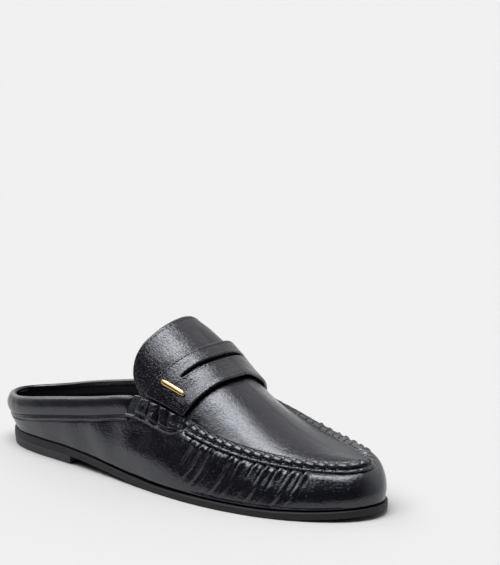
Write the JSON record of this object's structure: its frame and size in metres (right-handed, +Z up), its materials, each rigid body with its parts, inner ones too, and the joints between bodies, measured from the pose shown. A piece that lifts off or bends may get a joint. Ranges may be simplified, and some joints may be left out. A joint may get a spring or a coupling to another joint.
{
  "type": "loafer mule",
  "caption": "Loafer mule for the right foot with a low heel, padded open collar, tongue, slotted strap and hand-sewn apron seam, standing empty on its sole.",
  "frame": {"origin": "on the floor under the middle of the shoe's bounding box", "axes": "+X towards the toe, +Y towards the inner (medial) side, +Z up"},
  "size_m": [0.2604, 0.0856, 0.0848],
  "materials": {
    "sole_leather": "dyed black edge, matte",
    "heel_rubber": "matte black",
    "sock_leather": "smooth black lining leather",
    "upper_leather": "glossy black leather with a fine crinkled grain",
    "gold_tone": "polished gold-tone metal"
  },
  "bodies": {
    "root": {"outsole": "sole_leather", "heel": "heel_rubber", "insole": "sock_leather", "upper": "upper_leather", "collar": "upper_leather", "tongue": "upper_leather", "strap": "upper_leather", "moc_seam": "upper_leather", "side_tab_lateral": "upper_leather", "side_tab_medial": "upper_leather", "bar_pin": "gold_tone"}
  },
  "joints": []
}
